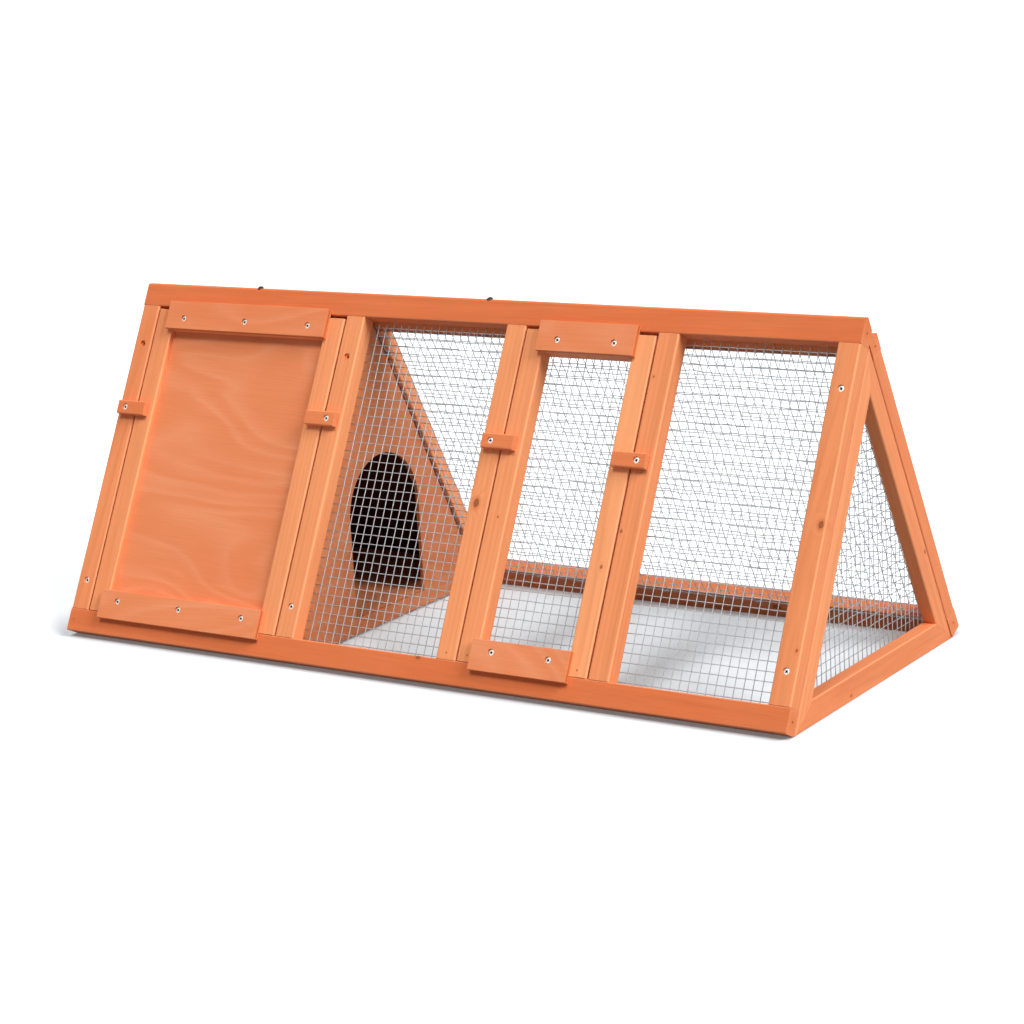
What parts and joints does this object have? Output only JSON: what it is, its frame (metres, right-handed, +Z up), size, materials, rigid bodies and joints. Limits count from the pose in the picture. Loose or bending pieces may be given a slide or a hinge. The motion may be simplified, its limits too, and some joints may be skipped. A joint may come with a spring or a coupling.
{
  "type": "small animal enclosure",
  "caption": "A-frame timber hutch and wire run for rabbits or guinea pigs, with a closed house behind an arched doorway, two lift-out doors and wooden turn buttons.",
  "frame": {"origin": "middle of the footprint, on the ground", "axes": "+X along the ridge to the right as seen from the front, +Y from the front slope with the doors to the back slope, +Z up"},
  "size_m": [1.16, 0.5, 0.477],
  "materials": {
    "stained_fir": "planed fir with a thin orange stain, matt",
    "stained_plywood": "rotary-cut plywood with the same orange stain, matt",
    "galvanised_wire": "galvanised welded wire, dull silver",
    "zinc_screws": "zinc-plated screws with flat heads",
    "browned_steel": "dark browned screws at the ridge"
  },
  "bodies": {
    "frame": {"front_top_rail": "stained_fir", "front_bottom_rail": "stained_fir", "front_left_stile": "stained_fir", "front_house_stile": "stained_fir", "front_middle_stile": "stained_fir", "front_bay_stile": "stained_fir", "front_right_stile": "stained_fir", "front_left_mesh": "galvanised_wire", "front_right_mesh": "galvanised_wire", "front_panel_screws": "zinc_screws", "back_top_rail": "stained_fir", "back_bottom_rail": "stained_fir", "back_left_stile": "stained_fir", "back_house_stile": "stained_fir", "back_right_stile": "stained_fir", "back_house_board": "stained_plywood", "back_mesh": "galvanised_wire", "back_panel_screws": "zinc_screws", "ridge_screws": "browned_steel", "right_end_front_leg": "stained_fir", "right_end_back_leg": "stained_fir", "right_end_foot_rail": "stained_fir", "right_end_mesh": "galvanised_wire", "left_end_front_leg": "stained_fir", "left_end_back_leg": "stained_fir", "left_end_foot_rail": "stained_fir", "left_end_board": "stained_plywood", "divider_front_leg": "stained_fir", "divider_back_leg": "stained_fir", "divider_foot_rail": "stained_fir", "divider_board": "stained_plywood", "house_floor": "stained_plywood", "pivot_screws": "zinc_screws"},
    "house_door": {"house_door_left_stile": "stained_fir", "house_door_right_stile": "stained_fir", "house_door_top_rail": "stained_fir", "house_door_bottom_rail": "stained_fir", "house_door_panel": "stained_plywood", "house_door_top_batten": "stained_plywood", "house_door_bottom_batten": "stained_plywood", "house_door_screws": "zinc_screws"},
    "run_door": {"run_door_left_stile": "stained_fir", "run_door_right_stile": "stained_fir", "run_door_top_rail": "stained_fir", "run_door_bottom_rail": "stained_fir", "run_door_mesh": "galvanised_wire", "run_door_top_batten": "stained_plywood", "run_door_bottom_batten": "stained_plywood", "run_door_screws": "zinc_screws"},
    "house_left_button": {"house_left_button": "stained_fir"},
    "house_right_button": {"house_right_button": "stained_fir"},
    "run_left_button": {"run_left_button": "stained_fir"},
    "run_right_button": {"run_right_button": "stained_fir"}
  },
  "joints": [
    {"name": "house_door_lift", "type": "slide", "parent": "frame", "child": "house_door", "axis": [0, 0.4617, 0.887], "range_m": [0, 0.004]},
    {"name": "run_door_lift", "type": "slide", "parent": "frame", "child": "run_door", "axis": [0, 0.4617, 0.887], "range_m": [0, 0.004]},
    {"name": "house_left_button_turn", "type": "hinge", "parent": "frame", "child": "house_left_button", "pos_m": [-0.5605, -0.10167, 0.30816], "axis": [0, -0.887, 0.4617], "continuous": true},
    {"name": "house_right_button_turn", "type": "hinge", "parent": "frame", "child": "house_right_button", "pos_m": [-0.1965, -0.09843, 0.31436], "axis": [0, -0.887, 0.4617], "continuous": true},
    {"name": "run_left_button_turn", "type": "hinge", "parent": "frame", "child": "run_left_button", "pos_m": [0.0785, -0.10397, 0.30372], "axis": [0, -0.887, 0.4617], "continuous": true},
    {"name": "run_right_button_turn", "type": "hinge", "parent": "frame", "child": "run_right_button", "pos_m": [0.3045, -0.10859, 0.29485], "axis": [0, -0.887, 0.4617], "continuous": true}
  ]
}
